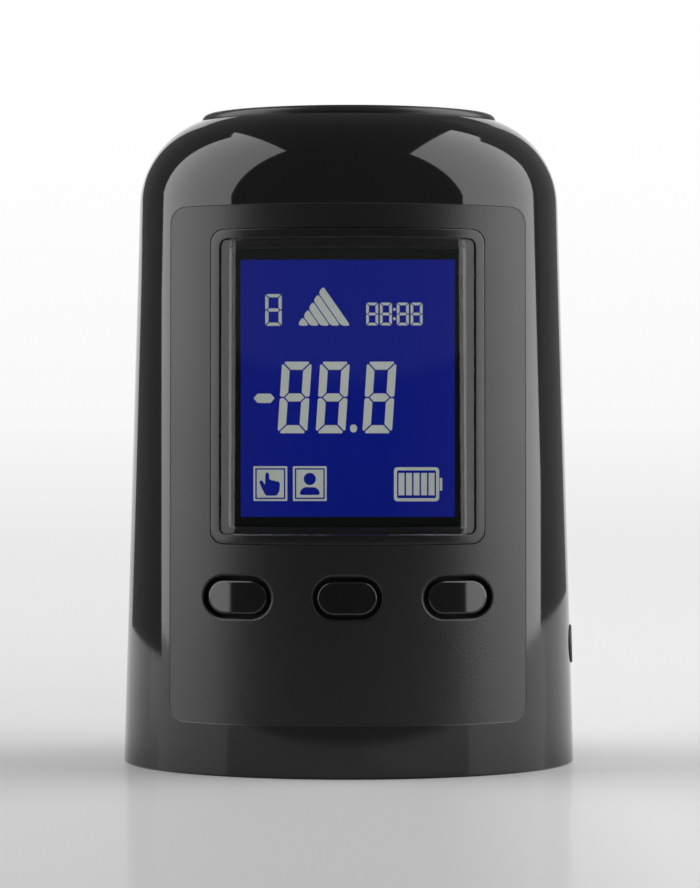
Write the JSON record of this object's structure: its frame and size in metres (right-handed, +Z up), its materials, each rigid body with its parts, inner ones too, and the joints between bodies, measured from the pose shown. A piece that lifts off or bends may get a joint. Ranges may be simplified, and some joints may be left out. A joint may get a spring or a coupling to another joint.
{
  "type": "vacuum extractor main unit",
  "caption": "Tapered round hand-held vacuum unit with a lit display, push buttons, a charging port and a socket underneath for a suction tip.",
  "frame": {"origin": "centre of the foot rim, on the surface it stands on", "axes": "+Z up the body, the display and buttons face -Y, the charging port faces +X"},
  "size_m": [0.072, 0.072, 0.1038],
  "materials": {
    "gloss_black_shell": "polished, with a fine-textured panel",
    "satin_black_frame": "satin",
    "clear_window": "clear polished",
    "button_black": "polished",
    "black_rubber": "matt",
    "screw_steel": "machined",
    "socket_grey": "satin",
    "soft_silicone": "translucent",
    "filter_felt": "felted",
    "chassis_plastic": "moulded",
    "display_glass": "lit blue",
    "diffuser_white": "smooth",
    "circuit_board": "solder mask",
    "chip_black": "moulded",
    "switch_cream": "moulded",
    "nickel_plate": "plated",
    "battery_wrap": "shrink sleeve",
    "pump_plastic": "moulded",
    "motor_steel": "zinc plated",
    "magnet_dark": "sintered",
    "winding_copper": "enamelled windings on a steel core",
    "bushing_brass": "turned",
    "wire_red": "wire sleeve",
    "wire_black": "wire sleeve"
  },
  "bodies": {
    "body": {"air_manifold": "pump_plastic", "base_plate": "satin_black_frame", "base_screws": "screw_steel", "battery_cell": "battery_wrap", "battery_tabs": "nickel_plate", "board_screws": "screw_steel", "buzzer": "chip_black", "charge_board": "circuit_board", "charging_jack": "nickel_plate", "controller_chip": "chip_black", "crank_case": "pump_plastic", "diaphragm": "black_rubber", "display_bezel": "satin_black_frame", "display_window": "clear_window", "drive_leads": "wire_black", "flap_valves": "soft_silicone", "housing_shell": "gloss_black_shell", "inlet_filter": "filter_felt", "inner_chassis": "chassis_plastic", "lcd_backlight": "diffuser_white", "lcd_glass": "display_glass", "lcd_holder": "chassis_plastic", "lead_connectors": "switch_cream", "main_board": "circuit_board", "motor_bushings": "bushing_brass", "motor_can": "motor_steel", "motor_end_cap": "pump_plastic", "motor_magnets": "magnet_dark", "motor_terminals": "bushing_brass", "power_leads": "wire_red", "pressure_sensor": "chip_black", "pump_cover": "pump_plastic", "pump_hose": "soft_silicone", "pump_screws": "screw_steel", "sensor_hose": "soft_silicone", "socket_seal": "soft_silicone", "suction_hose": "soft_silicone", "suction_socket": "socket_grey", "tact_switches": "chip_black", "top_cap": "gloss_black_shell", "valve_body": "pump_plastic", "valve_coil": "winding_copper", "valve_hose": "soft_silicone", "valve_plate": "pump_plastic", "valve_spring": "screw_steel", "valve_yoke": "motor_steel", "wobble_plate": "switch_cream", "zebra_strip": "soft_silicone"},
    "left_button": {"button_left": "button_black", "switch_plunger_left": "switch_cream"},
    "middle_button": {"button_middle": "button_black", "switch_plunger_middle": "switch_cream"},
    "right_button": {"button_right": "button_black", "switch_plunger_right": "switch_cream"},
    "charging_plug": {"port_plug": "black_rubber"},
    "pump_rotor": {"motor_armature": "winding_copper", "motor_shaft": "screw_steel", "crank_wheel": "switch_cream", "wobble_pin": "screw_steel"},
    "release_core": {"valve_core": "screw_steel"}
  },
  "joints": [
    {"name": "left_button_press", "type": "slide", "parent": "body", "child": "left_button", "axis": [0, 1, 0], "range_m": [0, 0.0005], "stiffness_N_per_m": 1500, "springref_m": -0.0003},
    {"name": "middle_button_press", "type": "slide", "parent": "body", "child": "middle_button", "axis": [0, 1, 0], "range_m": [0, 0.0005], "stiffness_N_per_m": 1500, "springref_m": -0.0003},
    {"name": "right_button_press", "type": "slide", "parent": "body", "child": "right_button", "axis": [0, 1, 0], "range_m": [0, 0.0005], "stiffness_N_per_m": 1500, "springref_m": -0.0003},
    {"name": "charging_plug_pull", "type": "slide", "parent": "body", "child": "charging_plug", "axis": [1, 0, 0], "range_m": [0, 0.008]},
    {"name": "pump_rotor_spin", "type": "hinge", "parent": "body", "child": "pump_rotor", "pos_m": [-0.0125, 0.005, 0.05], "axis": [0, 0, 1], "continuous": true},
    {"name": "release_core_lift", "type": "slide", "parent": "body", "child": "release_core", "axis": [0, 0, 1], "range_m": [0, 0.0008], "stiffness_N_per_m": 150, "springref_m": -0.0008, "deforming": ["valve_spring"]}
  ]
}
